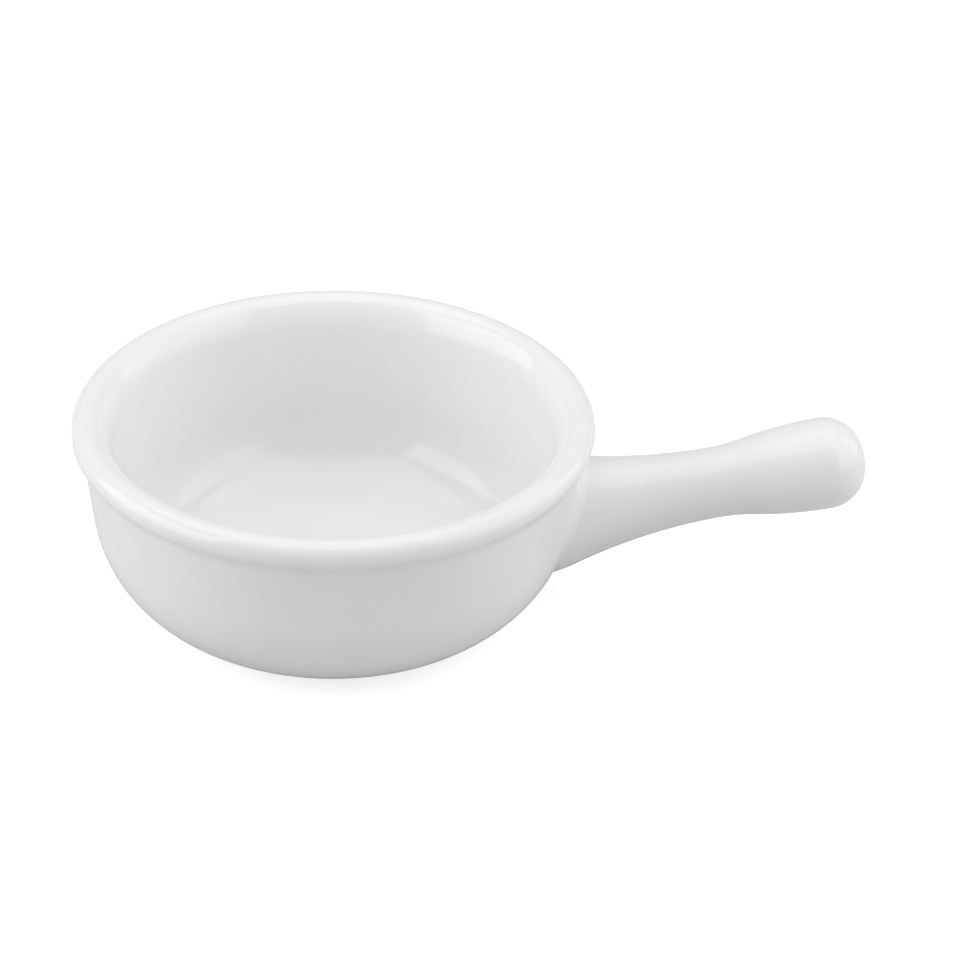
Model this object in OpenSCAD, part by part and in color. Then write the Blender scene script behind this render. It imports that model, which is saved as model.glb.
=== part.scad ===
// Onion soup crock: a round glazed bowl with a rolled rim and one stick handle, luted on with slip.
// Millimetres, +Z up. The origin is on the bowl's axis, on the table. The handle points along +X.

/* [Bowl] */
// Outside diameter of the rim
rim_d = 127; // [110:1:160]
// Height of the rim's crown above the table
bowl_h = 53; // [48:1:66]
// Thickness of the side wall
wall_t = 7; // [6:0.5:8]
// Slope of the side wall, outwards from the vertical, in degrees
wall_draft = 7; // [3:0.5:10]
// Radius of the outside curve from the wall down to the foot
belly_r = 30.4; // [24:0.2:34]
// Radius of the inside curve from the wall down to the floor
cove_r = 17; // [12:1:28]
// Thickness of the floor
floor_t = 6; // [4:0.5:9]

/* [Rim] */
// Radius of the rim's rounded outer edge
nose_r = 3.7; // [3:0.1:4.4]
// Width of the level crown between the rim's outer and inner rounding
crown_w = 0.1; // [0.1:0.1:1]
// How far the rim's edge stands out from the wall
overhang = 1.9; // [1.4:0.1:2.6]
// Radius of the hollow under the rim's edge
under_r = 6; // [3:0.5:8]
// Radius of the rim's rounded inner edge
lip_r = 4; // [3:0.5:5]
// Radius of the slow curve from the inner edge down into the wall
throat_r = 14; // [8:1:20]

/* [Foot] */
// Outside diameter of the foot ring
foot_d = 74; // [64:1:80]
// Height of the foot ring's side, from the table to the belly
foot_h = 1.3; // [0.8:0.1:3]
// Width of the foot ring's standing face
foot_w = 4; // [2.5:0.5:8]
// Depth of the recess inside the foot ring
recess = 2; // [1:0.5:4]
// Slope of the recess's side, from the vertical, in degrees
recess_draft = 30; // [5:5:45]
// Size of the bevel along the foot ring's outer edge
foot_bevel = 0.5; // [0.2:0.1:0.7]

/* [Handle] */
// How far the handle's end stands out past the rim
reach = 67.5; // [58:0.5:90]
// Height of the handle's axis where it meets the wall
root_z = 23.8; // [23:0.1:28]
// Rise of the handle's axis above the horizontal, in degrees
rise = 10.3; // [5:0.1:13]
// Diameter of the handle's root, hidden in the bowl's side
root_d = 30.2; // [26:0.2:32]
// Diameter of the neck
neck_d = 17.6; // [15:0.2:19]
// Diameter of the club end at its widest
tip_d = 22.7; // [21:0.1:26]
// Distance along the axis from the neck to the widest place of the club end
neck_back = 27.3; // [24:0.1:34]
// How far inside the wall's surface, along the axis, the handle stops widening
root_in = 10; // [6:0.5:12]
// Radius of the full arc where the handle stops widening
root_full_r = 33; // [15:1:45]
// Radius of the hollow between the neck and the club end
hollow_r = 42; // [30:1:70]
// Radius of the club end's rounded corner
corner_r = 9.8; // [8:0.1:10.4]
// Radius of the dome that closes the club end
dome_r = 15.3; // [13:0.1:22]

/* [Joint] */
// Thickness of the slip between the handle's end and the wall
slip_t = 0.4; // [0.2:0.1:1]
// Radius of the slip fillet round the handle's root
slip_r = 3.2; // [2:0.1:5]

/* [Hidden] */

// Facets of a full turn, round the bowl and round the handle
bowl_fn = 72;
handle_fn = 48;
// How far the chords of a profile may stand off its arcs
chord_off = 0.02;
// Sections round the slip, steps along its arc, and rings of its layer under the handle's end
slip_sections = 48;
slip_steps = 5;
slip_rings = 3;
// Hairline that keeps the slip's flat facets clear of the round wall and the round handle
slip_gap = 0.05;
// Halvings in the search for a point on two surfaces
search_steps = 30;
glaze = "whitesmoke";
clay = "ivory";

// Bowl profile, as [distance from the axis, height]
rim_r = rim_d / 2;
up = [sin(wall_draft), cos(wall_draft)];
out = [cos(wall_draft), -sin(wall_draft)];
nose_c = [rim_r - nose_r, bowl_h - nose_r];
wall_top = [rim_r - overhang, nose_c.y];

// The belly arc springs from the top of the foot ring and runs into the wall
foot_top = [foot_d / 2, foot_h];
belly_from = wall_top - belly_r * out - foot_top;
belly_rise = sqrt(pow(belly_from * up, 2) - belly_from * belly_from + pow(belly_r, 2)) - belly_from * up;
belly_c = wall_top - belly_r * out + belly_rise * up;
belly_wall = belly_c + belly_r * out;
belly_low = heading(foot_top - belly_c);

// The hollow under the rim touches the wall and the rim's outer edge
nose_inset = (nose_r - overhang) * cos(wall_draft);
under_drop = sqrt(pow(nose_r + under_r, 2) - pow(nose_inset + under_r, 2));
under_c = nose_c + (nose_inset + under_r) * out - under_drop * up;
under_end = heading(nose_c - under_c);

// The throat arc touches the rim's inner edge and the inside of the wall
inner_top = wall_top - wall_t * out;
lip_c = [nose_c.x - crown_w, bowl_h - lip_r];
throat_from = inner_top + throat_r * out - lip_c;
throat_drop = throat_from * up + sqrt(pow(throat_r - lip_r, 2) - pow(throat_from * out, 2));
throat_c = inner_top + throat_r * out - throat_drop * up;
lip_turn = heading(lip_c - throat_c);

// The cove runs from the inside of the wall into the flat floor
floor_z = recess + floor_t;
cove_z = floor_z + cove_r;
cove_c = [inner_top.x - (cove_r + (cove_z - inner_top.y) * out.y) / out.x, cove_z];

// The recess inside the foot ring narrows upwards
recess_r = foot_d / 2 - foot_bevel - foot_w;
recess_top_r = recess_r - recess * tan(recess_draft);

// Handle profile, as [distance from the handle's axis, distance along it from the bowl's axis]
root_r = root_d / 2;
tip_r = tip_d / 2;
root_x = wall_radius(root_z, 0);
axis_z = root_z - root_x * tan(rise);
wall_s = root_x / cos(rise);
start_s = wall_s - root_r - wall_t;
root_s = wall_s - root_in;
dome_s = (rim_r + reach - dome_r) / cos(rise);
tip_s = dome_s + sqrt(pow(dome_r - corner_r, 2) - pow(tip_r - corner_r, 2));
neck_s = tip_s - neck_back;
dome_from = atan2(tip_s - dome_s, tip_r - corner_r);

// Each sweep is a hollow arc and a full arc that touch: this is the sum of their radii
tip_sweep = sweep_radii(tip_s - neck_s, tip_r - neck_d / 2);
root_sweep = sweep_radii(neck_s - root_s, root_r - neck_d / 2);
tip_full_r = tip_sweep - hollow_r;
flare_r = root_sweep - root_full_r;
tip_bend = asin((tip_s - neck_s) / tip_sweep);
root_bend = asin((neck_s - root_s) / root_sweep);

// Directions of the handle's frame: along its axis, its upper side, and its left side seen from the bowl
along = [cos(rise), 0, sin(rise)];
over = [-sin(rise), 0, cos(rise)];
aside = [0, 1, 0];

function sweep_radii(length, step) = (pow(length, 2) + pow(step, 2)) / (2 * step);
function unit(v) = v / norm(v);
function heading(v) = atan2(v.y, v.x);

// Points of an arc about c, from one heading to another, without its first point if open is 1
function arc(c, r, from, to, open = 0) =
    let (steps = ceil(abs(to - from) / (2 * acos(1 - chord_off / r))))
    [
        for (i = [open : steps])
            let (a = from + (to - from) * i / steps)
            c + r * [cos(a), sin(a)]
    ];

// Outline of the bowl's half section, from the recess out along the foot, up the side and back inside
function bowl_outline() = [
    [0, recess],
    [recess_top_r, recess],
    [recess_r, 0],
    [foot_top.x - foot_bevel, 0],
    [foot_top.x, foot_bevel],
    each arc(belly_c, belly_r, belly_low, -wall_draft),
    each arc(under_c, under_r, 180 - wall_draft, under_end),
    each arc(nose_c, nose_r, under_end - 180, 0, open = 1),
    each arc(nose_c, nose_r, 0, 90, open = 1),
    each arc(lip_c, lip_r, 90, lip_turn),
    each arc(throat_c, throat_r, lip_turn, 180 - wall_draft, open = 1),
    each arc(cove_c, cove_r, -wall_draft, -90),
    [0, floor_z]
];

// Outline of a solid half section up to the rim, with its side moved outwards by grow
function side_outline(grow) =
    let (side = arc(belly_c, belly_r + grow, belly_low, -wall_draft))
    [[0, 0], [side[0].x, 0], each side, wall_top + grow * out, [0, wall_top.y + grow * out.y]];

// Outline of the handle's half section, from inside the wall to the rounded end
function handle_outline() = [
    [0, start_s],
    [root_r, start_s],
    each arc([root_r - root_full_r, root_s], root_full_r, 0, root_bend),
    each arc([neck_d / 2 + flare_r, neck_s], flare_r, 180 + root_bend, 180, open = 1),
    each arc([neck_d / 2 + hollow_r, neck_s], hollow_r, 180, 180 - tip_bend, open = 1),
    each arc([tip_r - tip_full_r, tip_s], tip_full_r, -tip_bend, 0, open = 1),
    each arc([tip_r - corner_r, tip_s], corner_r, 0, dome_from, open = 1),
    each arc([0, dome_s], dome_r, dome_from, 90, open = 1)
];

// Outside radius of the wall and belly at height z, with both moved outwards by grow
function wall_radius(z, grow) =
    let (corner = belly_wall + grow * out)
    z > corner.y
        ? corner.x + (z - corner.y) * up.x / up.y
        : belly_c.x + sqrt(pow(belly_r + grow, 2) - pow(z - belly_c.y, 2));

// Outward direction of that surface at height z, as [from the axis, upwards]
function wall_normal(z, grow) =
    let (corner = belly_wall + grow * out)
    z > corner.y ? out : unit([wall_radius(z, grow), z] - belly_c);

// Place along the handle's axis where the root's full arc passes into the flare, both moved outwards by grow
function turn_s(grow) = neck_s - (flare_r - grow) * sin(root_bend);

// Radius of the handle's root half at distance s along its axis, moved outwards by grow
function root_radius(s, grow) =
    s < root_s
        ? root_r + grow
        : s < turn_s(grow)
            ? root_r - root_full_r + sqrt(pow(root_full_r + grow, 2) - pow(s - root_s, 2))
            : neck_d / 2 + flare_r - sqrt(pow(flare_r - grow, 2) - pow(neck_s - s, 2));

// How far the outward direction of that surface leans towards the club end
function root_lean(s, grow) =
    s < root_s
        ? 0
        : s < turn_s(grow)
            ? asin((s - root_s) / (root_full_r + grow))
            : asin((neck_s - s) / (flare_r - grow));

// Point at distance s along the handle's axis, off it by r in the direction of angle a
function handle_point(s, r, a) =
    [0, 0, axis_z] + s * along + r * (cos(a) * over + sin(a) * aside);

// Point at distance s and angle a on the handle, moved outwards by lift and then drawn in to a share of
// its radius
function root_point(s, a, lift, share) = handle_point(s, share * root_radius(s, lift), a);

// Place along the handle's axis, between low and high, where such a point meets the wall moved out by grow
function meeting_s(a, lift, share, grow, low = start_s, high = neck_s, steps = search_steps) =
    let (
        middle = (low + high) / 2,
        p = root_point(middle, a, lift, share),
        inside = norm([p.x, p.y]) < wall_radius(p.z, grow)
    )
    steps == 0
        ? middle
        : inside
            ? meeting_s(a, lift, share, grow, middle, high, steps - 1)
            : meeting_s(a, lift, share, grow, low, middle, steps - 1);

function meeting_point(a, lift, share, grow) =
    root_point(meeting_s(a, lift, share, grow), a, lift, share);

// Arc of the slip's fillet at angle a, rolled between the handle and the wall
function slip_arc(a) =
    let (
        grow = slip_r + slip_gap,
        s = meeting_s(a, grow, 1, grow),
        c = root_point(s, a, grow, 1),
        lean = root_lean(s, grow),
        from_handle = cos(lean) * (cos(a) * over + sin(a) * aside) + sin(lean) * along,
        wall_out = wall_normal(c.z, grow),
        from_wall = concat(wall_out.x * unit([c.x, c.y]), wall_out.y),
        between = acos(from_handle * from_wall)
    )
    [
        for (i = [0 : slip_steps])
            let (turn = between * i / slip_steps)
            c - slip_r * (sin(between - turn) * from_handle + sin(turn) * from_wall) / sin(between)
    ];

// Half section of the slip at angle a, from the handle's cut end round the fillet and back along the wall
function slip_section(a) = [
    for (i = [1 : slip_rings - 1]) meeting_point(a, 0, i / slip_rings, slip_t),
    meeting_point(a, slip_gap, 1, slip_t),
    each slip_arc(a),
    for (i = [slip_rings : -1 : 1]) meeting_point(a, 0, i / slip_rings, slip_gap)
];

// Round bowl in one piece: foot ring, floor, wall and rolled rim
module bowl() {
    color(glaze)
        rotate_extrude($fn = bowl_fn)
            polygon(bowl_outline());
}

// Solid stick handle, its inner end cut to the bowl's round side
module handle() {
    color(glaze)
        difference() {
            translate([0, 0, axis_z])
                rotate([0, 90 - rise, 0])
                    rotate_extrude($fn = handle_fn)
                        polygon(handle_outline());
            rotate_extrude($fn = bowl_fn)
                polygon(side_outline(slip_t));
        }
}

// Slip that bonds the handle to the wall: a thin layer, drawn out into a fillet all round
module handle_slip() {
    sections = [for (i = [0 : slip_sections - 1]) slip_section(360 * i / slip_sections)];
    width = len(sections[0]);
    last = width - 1;
    handle_pole = slip_sections * width;
    wall_pole = handle_pole + 1;
    function at(i, j) = (i % slip_sections) * width + j;
    color(clay)
        polyhedron(
            points = [
                for (section = sections) each section,
                meeting_point(0, 0, 0, slip_t),
                meeting_point(0, 0, 0, slip_gap)
            ],
            faces = [
                for (i = [0 : slip_sections - 1], j = [0 : last - 1]) each [
                    [at(i, j), at(i, j + 1), at(i + 1, j + 1)],
                    [at(i, j), at(i + 1, j + 1), at(i + 1, j)]
                ],
                for (i = [0 : slip_sections - 1]) each [
                    [handle_pole, at(i, 0), at(i + 1, 0)],
                    [at(i, last), wall_pole, at(i + 1, last)]
                ]
            ]
        );
}

bowl();
handle();
handle_slip();
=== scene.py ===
"""Looks of the onion soup crock: glazed bowl, stick handle and slip fillet, on a white table."""

import math

import bpy
import numpy as np
from mathutils import Matrix, Vector


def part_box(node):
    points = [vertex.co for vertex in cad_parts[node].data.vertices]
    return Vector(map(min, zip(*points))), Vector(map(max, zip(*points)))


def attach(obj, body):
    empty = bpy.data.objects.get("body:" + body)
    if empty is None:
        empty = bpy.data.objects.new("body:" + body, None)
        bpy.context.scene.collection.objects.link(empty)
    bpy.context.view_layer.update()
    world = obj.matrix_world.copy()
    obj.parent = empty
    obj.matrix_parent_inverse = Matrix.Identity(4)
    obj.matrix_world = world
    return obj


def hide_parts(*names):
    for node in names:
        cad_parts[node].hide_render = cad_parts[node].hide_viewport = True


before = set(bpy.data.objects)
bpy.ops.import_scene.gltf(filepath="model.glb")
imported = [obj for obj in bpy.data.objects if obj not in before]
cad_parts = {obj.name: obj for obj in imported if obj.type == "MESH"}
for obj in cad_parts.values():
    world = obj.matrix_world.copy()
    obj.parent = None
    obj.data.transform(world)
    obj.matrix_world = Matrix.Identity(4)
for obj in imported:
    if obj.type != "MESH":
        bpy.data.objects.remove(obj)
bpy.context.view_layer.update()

MM = 0.001

# Bowl, in millimetres and radians, with the outer sizes taken from the frame
bowl_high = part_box("bowl")[1]
RIM_R = bowl_high[0] / MM
BOWL_H = bowl_high[2] / MM
WALL_T = 7
DRAFT = math.radians(7)
BELLY_R = 30.4
COVE_R = 17
FLOOR_T = 6
NOSE_R = 3.7
CROWN_W = 0.1
OVERHANG = 1.9
UNDER_R = 6
LIP_R = 4
THROAT_R = 14
FOOT_R = 37
FOOT_H = 1.3
FOOT_W = 4
FOOT_ROUND = 0.5
RECESS = 2
RECESS_DRAFT = math.radians(30)
RECESS_ROUND = 1.2

# Handle, in millimetres and radians, with its far end taken from the frame
HANDLE_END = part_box("handle")[1][0] / MM
ROOT_Z = 23.8
RISE = math.radians(10.3)
ROOT_R = 15.1
ROOT_IN = 10
ROOT_FULL_R = 33
NECK_R = 8.8
TIP_R = 11.35
NECK_BACK = 27.3
HOLLOW_R = 42
CORNER_R = 9.8
DOME_R = 15.3

# Slip, in millimetres: its layer, its fillet, how deep the layer sinks into what it joins,
# and how far the fillet's edges dip in, fading by a power towards the middle
SLIP_T = 0.4
SLIP_R = 3.2
SLIP_SUNK = 0.05
SLIP_DIP = 0.012
SLIP_DIP_POWER = 4

# Mesh fineness: counts of steps and rings, and spacing of points in millimetres
BOWL_TURN = 288
HANDLE_TURN = 144
SLIP_TURN = 192
SLIP_STEPS = 24
CAP_RINGS = 6
ARC_STEP = 0.45
RIM_STEP = ARC_STEP / 2
FOOT_STEP = FOOT_ROUND / 4
HANDLE_STEP = 2 * ARC_STEP
FLAT_STEP = 1.5
TOUCHING = 1e-6
SEARCH_STEPS = 40


# Profile geometry, as points [distance from an axis, distance along it]

UP = np.array([math.sin(DRAFT), math.cos(DRAFT)])
OUT = np.array([math.cos(DRAFT), -math.sin(DRAFT)])
NOSE_C = np.array([RIM_R - NOSE_R, BOWL_H - NOSE_R])
WALL_TOP = np.array([RIM_R - OVERHANG, NOSE_C[1]])
FOOT_TOP = np.array([FOOT_R, FOOT_H])


def belly_centre():
    """Centre of the arc that springs from the foot ring's top and runs into the drafted wall."""
    start = WALL_TOP - BELLY_R * OUT
    off = start - FOOT_TOP
    along = -off @ UP + math.sqrt((off @ UP) ** 2 - off @ off + BELLY_R ** 2)
    return start + along * UP


BELLY_C = belly_centre()
BELLY_WALL = BELLY_C + BELLY_R * OUT


def heading(v):
    """Angle of a direction in the profile's plane."""
    return math.atan2(v[1], v[0])


def arc(centre, radius, start, end, step=ARC_STEP):
    """Points of an arc from one heading to another, about step apart."""
    count = max(2, math.ceil(radius * abs(end - start) / step))
    turn = np.linspace(start, end, count + 1)
    return np.asarray(centre) + radius * np.stack([np.cos(turn), np.sin(turn)], -1)


def straight(start, end, step=FLAT_STEP):
    """Points between two ends, without the ends themselves."""
    start, end = np.asarray(start), np.asarray(end)
    count = max(1, math.ceil(np.linalg.norm(end - start) / step))
    return start + (end - start) * np.linspace(0, 1, count + 1)[1:-1, None]


def joined(*runs):
    """One outline of arcs, with straight runs between them where they don't touch."""
    points = [np.asarray(runs[0], float).reshape(-1, 2)]
    for run in runs[1:]:
        run = np.asarray(run, float).reshape(-1, 2)
        last = points[-1][-1]
        gap = np.linalg.norm(run[0] - last)
        if gap < TOUCHING:
            run = run[1:]
        else:
            points.append(straight(last, run[0]))
        points.append(run)
    return np.concatenate(points)


def bowl_outline():
    """Half section of the bowl, from the middle of the recess out, up the side and back to the floor."""
    inner_top = WALL_TOP - WALL_T * OUT
    lip_c = np.array([NOSE_C[0] - CROWN_W, BOWL_H - LIP_R])
    off = inner_top + THROAT_R * OUT - lip_c
    drop = off @ UP + math.sqrt((off @ UP) ** 2 - off @ off + (THROAT_R - LIP_R) ** 2)
    throat_c = inner_top + THROAT_R * OUT - drop * UP
    lip_end = heading(lip_c - throat_c)
    cove_z = RECESS + FLOOR_T + COVE_R
    cove_c = np.array([inner_top[0] - (COVE_R + (cove_z - inner_top[1]) * OUT[1]) / OUT[0], cove_z])

    inset = (NOSE_R - OVERHANG) * math.cos(DRAFT)
    drop = math.sqrt((NOSE_R + UNDER_R) ** 2 - (inset + UNDER_R) ** 2)
    under_c = NOSE_C + (inset + UNDER_R) * OUT - drop * UP
    under_end = heading(NOSE_C - under_c)

    ring_in = FOOT_R - FOOT_ROUND - FOOT_W
    inner_edge = [ring_in + FOOT_ROUND, FOOT_ROUND]
    outer_edge = [FOOT_R - FOOT_ROUND, FOOT_ROUND]
    recess_z = RECESS - RECESS_ROUND
    recess_x = ring_in - recess_z * math.tan(RECESS_DRAFT) - RECESS_ROUND / math.cos(RECESS_DRAFT)
    return joined(
        [0, RECESS],
        arc([recess_x, recess_z], RECESS_ROUND, math.pi / 2, RECESS_DRAFT),
        arc(inner_edge, FOOT_ROUND, math.pi + RECESS_DRAFT, 1.5 * math.pi, FOOT_STEP),
        arc(outer_edge, FOOT_ROUND, -math.pi / 2, 0, FOOT_STEP),
        arc(BELLY_C, BELLY_R, heading(FOOT_TOP - BELLY_C), -DRAFT),
        arc(under_c, UNDER_R, math.pi - DRAFT, under_end, RIM_STEP),
        arc(NOSE_C, NOSE_R, under_end - math.pi, math.pi / 2, RIM_STEP),
        arc(lip_c, LIP_R, math.pi / 2, lip_end, RIM_STEP),
        arc(throat_c, THROAT_R, lip_end, math.pi - DRAFT),
        arc(cove_c, COVE_R, -DRAFT, -math.pi / 2),
        [0, RECESS + FLOOR_T],
    )


def wall_radius(z, grow):
    """Outside radius of wall and belly at height z, with both moved outwards by grow."""
    corner = BELLY_WALL + grow * OUT
    bowed = BELLY_C[0] + np.sqrt(np.maximum((BELLY_R + grow) ** 2 - (z - BELLY_C[1]) ** 2, 0))
    return np.where(z > corner[1], corner[0] + (z - corner[1]) * UP[0] / UP[1], bowed)


def wall_normal(p, grow):
    """Outward direction of the moved-out wall at points p that lie on it."""
    radius = np.linalg.norm(p[..., :2], axis=-1)
    flat = np.broadcast_to(OUT, p.shape[:-1] + (2,))
    bowed = (np.stack([radius, p[..., 2]], -1) - BELLY_C) / (BELLY_R + grow)
    straight_part = (p[..., 2] > (BELLY_WALL + grow * OUT)[1])[..., None]
    n = np.where(straight_part, flat, bowed)
    return np.concatenate([p[..., :2] * (n[..., :1] / radius[..., None]), n[..., 1:]], -1)


# Handle axis and profile

ALONG = np.array([math.cos(RISE), 0, math.sin(RISE)])
OVER = np.array([-math.sin(RISE), 0, math.cos(RISE)])
ASIDE = np.array([0.0, 1, 0])
ROOT_X = float(wall_radius(np.array(ROOT_Z), 0))
AXIS_START = np.array([0, 0, ROOT_Z - ROOT_X * math.tan(RISE)])
WALL_S = ROOT_X / math.cos(RISE)
DOME_S = (HANDLE_END - DOME_R) / math.cos(RISE)
TIP_S = DOME_S + math.sqrt((DOME_R - CORNER_R) ** 2 - (TIP_R - CORNER_R) ** 2)
NECK_S = TIP_S - NECK_BACK
ROOT_S = WALL_S - ROOT_IN
START_S = WALL_S - WALL_T - ROOT_R


def sweep_radii(length, step):
    """Sum of the radii of a hollow and a full arc that touch and take a step over a length."""
    return (length ** 2 + step ** 2) / (2 * step)


ROOT_SWEEP = sweep_radii(NECK_S - ROOT_S, ROOT_R - NECK_R)
ROOT_BEND = math.asin((NECK_S - ROOT_S) / ROOT_SWEEP)
FLARE_R = ROOT_SWEEP - ROOT_FULL_R


def root_surface(s, grow):
    """Radius of the root and its flare, moved outwards by grow, and its normal's lean towards the neck."""
    full_r = ROOT_FULL_R + grow
    flare_r = FLARE_R - grow
    past_root = np.clip(s - ROOT_S, 0, full_r * math.sin(ROOT_BEND))
    full = ROOT_R - ROOT_FULL_R + np.sqrt(full_r ** 2 - past_root ** 2)
    flare = NECK_R + FLARE_R - np.sqrt(flare_r ** 2 - (NECK_S - s) ** 2)
    in_full = s < NECK_S - flare_r * math.sin(ROOT_BEND)
    lean = np.where(in_full, np.arcsin(past_root / full_r), np.arcsin((NECK_S - s) / flare_r))
    return np.where(in_full, full, flare), lean


def root_radius(s, grow):
    """Radius of the root and its flare, moved outwards by grow."""
    return root_surface(s, grow)[0]


def handle_outline():
    """Profile of the handle from its neck to the domed end."""
    sweep_r = sweep_radii(NECK_BACK, TIP_R - NECK_R)
    full_r = sweep_r - HOLLOW_R
    bend = math.asin(NECK_BACK / sweep_r)
    dome_start = math.atan2(TIP_S - DOME_S, TIP_R - CORNER_R)
    return joined(
        arc([NECK_R + HOLLOW_R, NECK_S], HOLLOW_R, math.pi, math.pi - bend, HANDLE_STEP),
        arc([TIP_R - full_r, TIP_S], full_r, -bend, 0, HANDLE_STEP),
        arc([TIP_R - CORNER_R, TIP_S], CORNER_R, 0, dome_start),
        arc([0, DOME_S], DOME_R, dome_start, math.pi / 2),
    )


def handle_point(s, r, a):
    """Points at distance s along the handle's axis, off it by r in the direction of angle a."""
    off = np.cos(a)[..., None] * OVER + np.sin(a)[..., None] * ASIDE
    return AXIS_START + np.asarray(s)[..., None] * ALONG + np.asarray(r)[..., None] * off


def meeting_s(a, lift, share, grow):
    """Distance along the axis at which the handle meets the wall, at angle a round the axis.

    The handle is moved outwards by lift, then drawn in to a share of its radius. The wall is moved outwards
    by grow.
    """
    low = np.full_like(a, START_S)
    high = np.full_like(a, NECK_S)
    for _ in range(SEARCH_STEPS):
        middle = (low + high) / 2
        p = handle_point(middle, share * root_radius(middle, lift), a)
        inside = np.linalg.norm(p[..., :2], axis=-1) < wall_radius(p[..., 2], grow)
        low = np.where(inside, middle, low)
        high = np.where(inside, high, middle)
    return low


def meeting_point(a, lift, share, grow):
    """Points at which the handle meets the wall, with both moved as in meeting_s."""
    s = meeting_s(a, lift, share, grow)
    return handle_point(s, share * root_radius(s, lift), a)


# Meshes

def full_turn(count):
    """Angles of one full turn in even steps."""
    return np.arange(count) * (2 * math.pi / count)


def skin(rows, first_pole, last_pole):
    """Closed shell through rings of points, with a fan to a pole at each end: vertices and faces."""
    count = rows.shape[1]
    points = np.concatenate([rows.reshape(-1, 3), [first_pole], [last_pole]])
    first, last = len(points) - 2, len(points) - 1
    j = np.arange(count)
    k = (j + 1) % count
    faces = []
    for row in range(len(rows) - 1):
        base, above = row * count, (row + 1) * count
        faces += np.stack([base + j, base + k, above + k, above + j], -1).tolist()
    top = (len(rows) - 1) * count
    faces += np.stack([k, j, np.full(count, first)], -1).tolist()
    faces += np.stack([top + j, top + k, np.full(count, last)], -1).tolist()
    return points, faces


def make_piece(name, points, faces, material, node):
    """Smooth piece that stands for a CAD node, in the CAD frame."""
    mesh = bpy.data.meshes.new(name)
    mesh.from_pydata((points * MM).tolist(), [], faces)
    mesh.validate()
    mesh.shade_smooth()
    mesh.materials.append(material)
    piece = bpy.data.objects.new(name, mesh)
    bpy.context.scene.collection.objects.link(piece)
    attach(piece, "root")
    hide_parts(node)
    return piece


def make_bowl(material):
    """Bowl, its half section turned about the upright axis."""
    outline = bowl_outline()
    a = full_turn(BOWL_TURN)
    rings = outline[1:-1]
    rows = np.stack([
        rings[:, :1] * np.cos(a),
        rings[:, :1] * np.sin(a),
        np.repeat(rings[:, 1:], len(a), axis=1),
    ], -1)
    points, faces = skin(rows, [0, 0, outline[0][1]], [0, 0, outline[-1][1]])
    make_piece("crock_bowl", points, faces, material, "bowl")


def make_handle(material):
    """Handle with a saddle-shaped inner end that seats on the slip."""
    a = full_turn(HANDLE_TURN)
    shares = np.arange(1, CAP_RINGS) / CAP_RINGS
    saddle = [meeting_point(a, 0, share, SLIP_T) for share in shares]
    cut_s = meeting_s(a, 0, 1, SLIP_T)
    length = NECK_S - cut_s.max()
    t = np.linspace(0, 1, math.ceil(length / HANDLE_STEP) + 1)[:-1]
    root = [handle_point(s, root_radius(s, 0), a) for s in cut_s + t[:, None] * (NECK_S - cut_s)]
    rest = [handle_point(np.full_like(a, s), np.full_like(a, r), a) for r, s in handle_outline()[:-1]]
    rows = np.array(saddle + root + rest)[:, ::-1]
    middle = meeting_point(a[:1], 0, 0, SLIP_T)[0]
    end = AXIS_START + (DOME_S + DOME_R) * ALONG
    points, faces = skin(rows, middle, end)
    make_piece("crock_handle", points, faces, material, "handle")


def slip_arcs(a):
    """Fillet round the handle's root, rolled between handle and wall: rings of points and their normals."""
    s = meeting_s(a, SLIP_R, 1, SLIP_R)
    r, lean = root_surface(s, SLIP_R)
    centre = handle_point(s, r, a)
    lean = lean[:, None]
    radial = np.cos(a)[:, None] * OVER + np.sin(a)[:, None] * ASIDE
    from_handle = np.cos(lean) * radial + np.sin(lean) * ALONG
    from_wall = wall_normal(centre, SLIP_R)
    between = np.arccos((from_handle * from_wall).sum(-1, keepdims=True))
    rings, normals = [], []
    for t in np.linspace(0, 1, SLIP_STEPS + 1):
        toward = np.sin((1 - t) * between) * from_handle + np.sin(t * between) * from_wall
        toward = toward / np.sin(between)
        fade = (1 - t) ** SLIP_DIP_POWER * from_handle + t ** SLIP_DIP_POWER * from_wall
        rings.append(centre - SLIP_R * toward - SLIP_DIP * fade)
        normals.append(toward)
    return rings, normals


def make_slip(material):
    """Slip between handle and wall: a thin layer with a fillet all round that runs out into both."""
    a = full_turn(SLIP_TURN)
    rings, normals = slip_arcs(a)
    shares = np.arange(1, CAP_RINGS) / CAP_RINGS
    upper = [meeting_point(a, 0, share, SLIP_T) for share in shares]
    edge = [meeting_point(a, -SLIP_SUNK, 1, SLIP_T)]
    lower = [meeting_point(a, 0, share, -SLIP_SUNK) for share in [1, *shares[::-1]]]
    rows = np.array(upper + edge + rings + lower)
    outer_pole = meeting_point(a[:1], 0, 0, SLIP_T)[0]
    inner_pole = meeting_point(a[:1], 0, 0, -SLIP_SUNK)[0]
    points, faces = skin(rows, outer_pole, inner_pole)
    piece = make_piece("crock_handle_slip", points, faces, material, "handle_slip")
    shown = np.zeros_like(points)
    first = (len(upper) + len(edge)) * len(a)
    fillet = np.array(normals).reshape(-1, 3)
    shown[first:first + len(fillet)] = fillet
    piece.data.normals_split_custom_set_from_vertices(shown.tolist())


# Materials

# Glaze and bare clay, each from a darker to a lighter place or from a smoother to a rougher one
GLAZE_COLOURS = ((0.87, 0.87, 0.87, 1), (0.89, 0.89, 0.89, 1))
GLAZE_ROUGHNESS = (0.08, 0.11)
CLAY_COLOURS = ((0.62, 0.60, 0.57, 1), (0.74, 0.72, 0.69, 1))
CLAY_ROUGHNESS = 0.8

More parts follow.
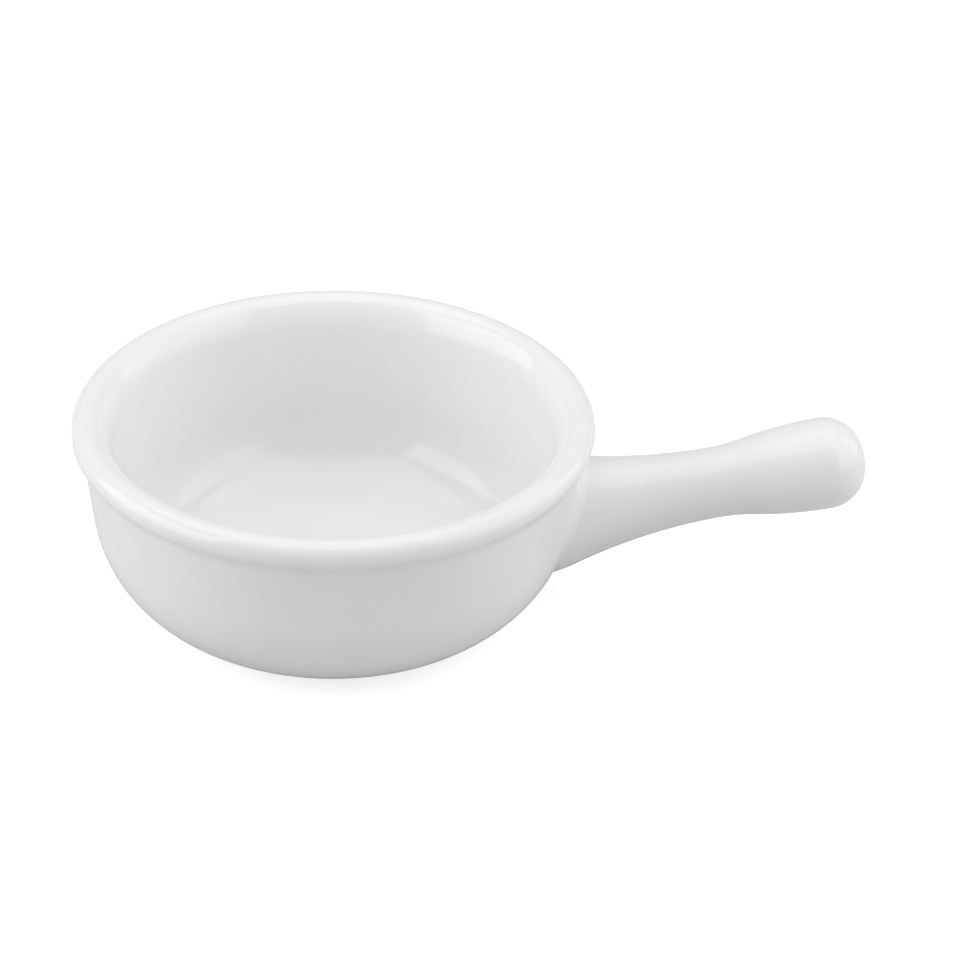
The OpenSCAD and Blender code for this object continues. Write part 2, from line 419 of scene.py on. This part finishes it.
# Noise scales, per metre, and the part of the noise's range that is spread out
MOTTLE_SCALE = 60
GLOSS_SCALE = 90
GRAIN_SCALE = 2200
RIPPLE_SCALE = 250
NOISE_SPAN = (0.3, 0.7)

# Heights between which the bare foot ring gives way to glaze, and the ripple's depth, in metres,
# and the share of the ripple that shows
BARE_SPAN = (0.35 * MM, 0.6 * MM)
RIPPLE_DEPTH = 0.1 * MM
RIPPLE_STRENGTH = 0.05


def feed(tree, socket, value):
    """Link an output to a socket, or set the socket to a plain value."""
    if isinstance(value, bpy.types.NodeSocket):
        tree.links.new(value, socket)
    else:
        socket.default_value = value


def new_node(tree, kind, **settings):
    """Node with sockets fed by their names, and other settings set."""
    made = tree.nodes.new(kind)
    for key, value in settings.items():
        if key in made.inputs:
            feed(tree, made.inputs[key], value)
        else:
            setattr(made, key, value)
    return made


def noise(tree, place, scale, detail):
    made = new_node(tree, "ShaderNodeTexNoise", Vector=place, Scale=scale, Detail=detail)
    return made.outputs["Fac"]


def spread(tree, source, result, span=NOISE_SPAN):
    """Value that runs over a result range while the source runs over a span."""
    made = new_node(tree, "ShaderNodeMapRange", Value=source)
    for key, value in zip(("From Min", "From Max", "To Min", "To Max"), (*span, *result)):
        made.inputs[key].default_value = value
    return made.outputs["Result"]


def blend(tree, factor, colours):
    """Mix of two colours, each plain or from a node."""
    made = new_node(tree, "ShaderNodeMix", data_type="RGBA", Factor=factor)
    sockets = [socket for socket in made.inputs if socket.type == "RGBA"]
    for socket, colour in zip(sockets, colours):
        feed(tree, socket, colour)
    return next(socket for socket in made.outputs if socket.type == "RGBA")


def glaze_material(name):
    """White gloss glaze with a faint mottle and a soft ripple, and a bare ground ring at the foot."""
    material = bpy.data.materials.new(name)
    material.use_nodes = True
    tree = material.node_tree
    shader = tree.nodes["Principled BSDF"]
    place = new_node(tree, "ShaderNodeTexCoord").outputs["Object"]
    height = new_node(tree, "ShaderNodeSeparateXYZ", Vector=place).outputs["Z"]
    bare = spread(tree, height, (1, 0), BARE_SPAN)

    mottle = spread(tree, noise(tree, place, MOTTLE_SCALE, detail=4), (0, 1))
    grain = spread(tree, noise(tree, place, GRAIN_SCALE, detail=3), (0, 1))
    glaze_colour = blend(tree, mottle, GLAZE_COLOURS)
    clay_colour = blend(tree, grain, CLAY_COLOURS)
    feed(tree, shader.inputs["Base Color"], blend(tree, bare, (glaze_colour, clay_colour)))

    gloss = spread(tree, noise(tree, place, GLOSS_SCALE, detail=3), GLAZE_ROUGHNESS)
    rough = new_node(tree, "ShaderNodeMix", data_type="FLOAT", Factor=bare, A=gloss, B=CLAY_ROUGHNESS)
    feed(tree, shader.inputs["Roughness"], rough.outputs["Result"])

    ripple = new_node(tree, "ShaderNodeBump", Strength=RIPPLE_STRENGTH, Distance=RIPPLE_DEPTH)
    feed(tree, ripple.inputs["Height"], noise(tree, place, RIPPLE_SCALE, detail=2))
    feed(tree, shader.inputs["Normal"], ripple.outputs["Normal"])
    return material


# Table, lights and camera, in metres and degrees

# Table: half its width, its gap below the foot, its shade, and its glow for the camera and in reflections
FLOOR_HALF = 6.0
FLOOR_GAP = 0.1 * MM
FLOOR_SHADE = 0.65
FLOOR_SEEN = 0.7
FLOOR_MIRRORED = 0.1

# Softboxes: the side that each faces the crock from, its distance, how far it reaches sideways and upwards
# from the middle of its plane, and its brightness, where 1 looks white
LAMP_AIM = Vector((0.02, 0, 0.03))
LAMPS = [
    dict(
        name="right_softbox", azimuth=-22, elevation=0, distance=0.8,
        sideways=(-0.38, 1.1), upwards=(0.02, 1.07), brightness=1.11,
    ),
    dict(
        name="left_softbox", azimuth=-150, elevation=0, distance=0.8,
        sideways=(-1.15, 0.12), upwards=(0.02, 0.88), brightness=1.7,
    ),
    dict(
        name="top_softbox", azimuth=-90, elevation=90, distance=0.9,
        sideways=(-0.6, 0.6), upwards=(-0.42, 0.6), brightness=0.98,
    ),
]

# Brightness of the even surround
AMBIENT = 0.42

# Camera at the photograph's viewing angle, with its lens and sensor in millimetres
CAMERA_EYE = Vector((-0.03015, -0.86342, 0.55659))
CAMERA_AIM = Vector((0.03714, 0.00838, 0.0265))
CAMERA_ROLL = 1.045
CAMERA_LENS = 153.77
CAMERA_SENSOR = 36
CAMERA_CLIP = (0.01, 100)


def calculate(tree, operation, first, second):
    made = new_node(tree, "ShaderNodeMath", operation=operation)
    feed(tree, made.inputs[0], first)
    feed(tree, made.inputs[1], second)
    return made.outputs["Value"]


def seen_white(tree):
    """Glow of the table that lights nothing: full for the camera, fainter in gloss and glass."""
    rays = new_node(tree, "ShaderNodeLightPath").outputs
    mirrored = calculate(tree, "MAXIMUM", rays["Is Glossy Ray"], rays["Is Transmission Ray"])
    faint = calculate(tree, "MULTIPLY", mirrored, FLOOR_MIRRORED)
    plain = calculate(tree, "MULTIPLY", rays["Is Camera Ray"], FLOOR_SEEN)
    return calculate(tree, "MAXIMUM", plain, faint)


def floor_material():
    """White that is lit by the lamps and glows only where it is seen."""
    material = bpy.data.materials.new("floor_white")
    material.use_nodes = True
    tree = material.node_tree
    tree.nodes.clear()
    lit = new_node(tree, "ShaderNodeBsdfDiffuse", Color=(FLOOR_SHADE, FLOOR_SHADE, FLOOR_SHADE, 1))
    white = new_node(tree, "ShaderNodeEmission", Color=(1, 1, 1, 1), Strength=seen_white(tree))
    both = new_node(tree, "ShaderNodeAddShader")
    tree.links.new(lit.outputs["BSDF"], both.inputs[0])
    tree.links.new(white.outputs["Emission"], both.inputs[1])
    new_node(tree, "ShaderNodeOutputMaterial", Surface=both.outputs["Shader"])
    return material


def make_floor():
    """Large white table that takes the crock's shadow."""
    mesh = bpy.data.meshes.new("floor")
    sides = ((-1, -1), (1, -1), (1, 1), (-1, 1))
    corners = [(x * FLOOR_HALF, y * FLOOR_HALF, -FLOOR_GAP) for x, y in sides]
    mesh.from_pydata(corners, [], [(0, 1, 2, 3)])
    mesh.materials.append(floor_material())
    floor = bpy.data.objects.new("floor", mesh)
    bpy.context.scene.collection.objects.link(floor)


def make_lamp(name, azimuth, elevation, distance, sideways, upwards, brightness):
    """Softbox on an upright or level plane that faces the crock."""
    a, e = math.radians(azimuth), math.radians(elevation)
    away = Vector((math.cos(e) * math.cos(a), math.cos(e) * math.sin(a), math.sin(e)))
    side = Vector((-math.sin(a), math.cos(a), 0))
    up = away.cross(side)
    data = bpy.data.lights.new(name, "AREA")
    data.shape = "RECTANGLE"
    data.size = sideways[1] - sideways[0]
    data.size_y = upwards[1] - upwards[0]
    data.energy = brightness * math.pi * data.size * data.size_y
    lamp = bpy.data.objects.new(name, data)
    middle = LAMP_AIM + distance * away + sum(sideways) / 2 * side + sum(upwards) / 2 * up
    turn = Matrix((side, up, away)).transposed()
    lamp.matrix_world = Matrix.Translation(middle) @ turn.to_4x4()
    bpy.context.scene.collection.objects.link(lamp)


def make_world():
    """Dim even surround."""
    world = bpy.data.worlds.new("studio")
    world.use_nodes = True
    tree = world.node_tree
    tree.nodes.clear()
    dim = new_node(tree, "ShaderNodeBackground", Color=(1, 1, 1, 1), Strength=AMBIENT)
    new_node(tree, "ShaderNodeOutputWorld", Surface=dim.outputs["Background"])
    bpy.context.scene.world = world


def make_camera():
    """Camera that looks from its eye to its aim, with a slight roll."""
    data = bpy.data.cameras.new("camera")
    data.sensor_width = CAMERA_SENSOR
    data.lens = CAMERA_LENS
    data.clip_start, data.clip_end = CAMERA_CLIP
    camera = bpy.data.objects.new("camera", data)
    turn = (CAMERA_AIM - CAMERA_EYE).to_track_quat("-Z", "Y").to_matrix()
    turn = turn @ Matrix.Rotation(math.radians(CAMERA_ROLL), 3, "Z")
    camera.matrix_world = Matrix.Translation(CAMERA_EYE) @ turn.to_4x4()
    bpy.context.scene.collection.objects.link(camera)
    bpy.context.scene.camera = camera


make_camera()
glaze = glaze_material("white_glaze")
make_bowl(glaze)
make_handle(glaze)
make_slip(glaze_material("slip_glaze"))
make_floor()
for lamp in LAMPS:
    make_lamp(**lamp)
make_world()
bpy.context.scene.view_settings.view_transform = "Standard"
